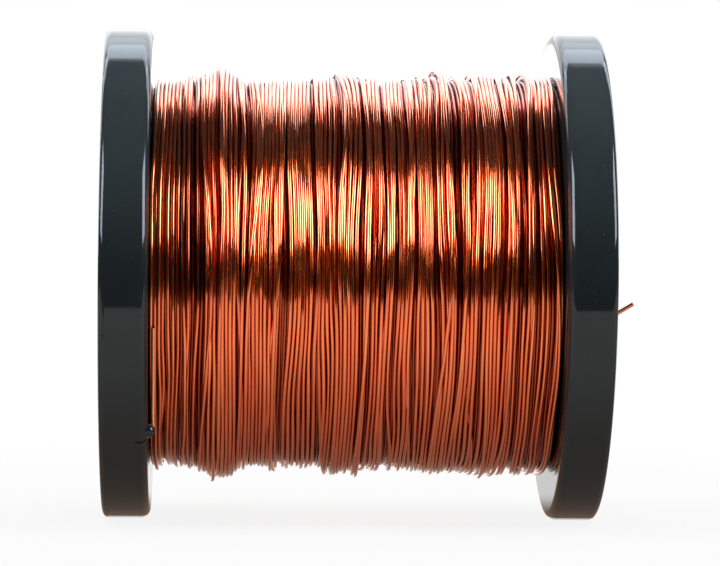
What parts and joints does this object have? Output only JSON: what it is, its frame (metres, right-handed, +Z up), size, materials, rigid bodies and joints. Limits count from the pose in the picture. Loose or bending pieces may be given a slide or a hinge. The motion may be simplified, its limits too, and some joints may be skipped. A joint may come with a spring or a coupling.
{
  "type": "wire spool",
  "caption": "Flanged black plastic reel full of enamelled copper winding wire, with an arbor bore through its barrel and a slit in one rim for the wire's end.",
  "frame": {"origin": "middle of the arbor bore, half way between the flanges", "axes": "+X along the arbor bore towards the flange that the wire's start comes out of, +Z up as the spool lies on its rims, -Y the front with the slit and the raised lip"},
  "size_m": [0.1313, 0.125, 0.125],
  "materials": {
    "reel_plastic": "moulded black plastic, smooth and glossy, with fine scratches",
    "enamelled_copper": "copper wire under clear orange-brown enamel, bright and smooth"
  },
  "bodies": {
    "root": {"left_flange": "reel_plastic", "right_flange": "reel_plastic", "barrel": "reel_plastic", "arbor_tube": "reel_plastic", "winding_core": "enamelled_copper", "outer_turns": "enamelled_copper", "start_tail": "enamelled_copper", "finish_tail": "enamelled_copper"}
  },
  "joints": []
}
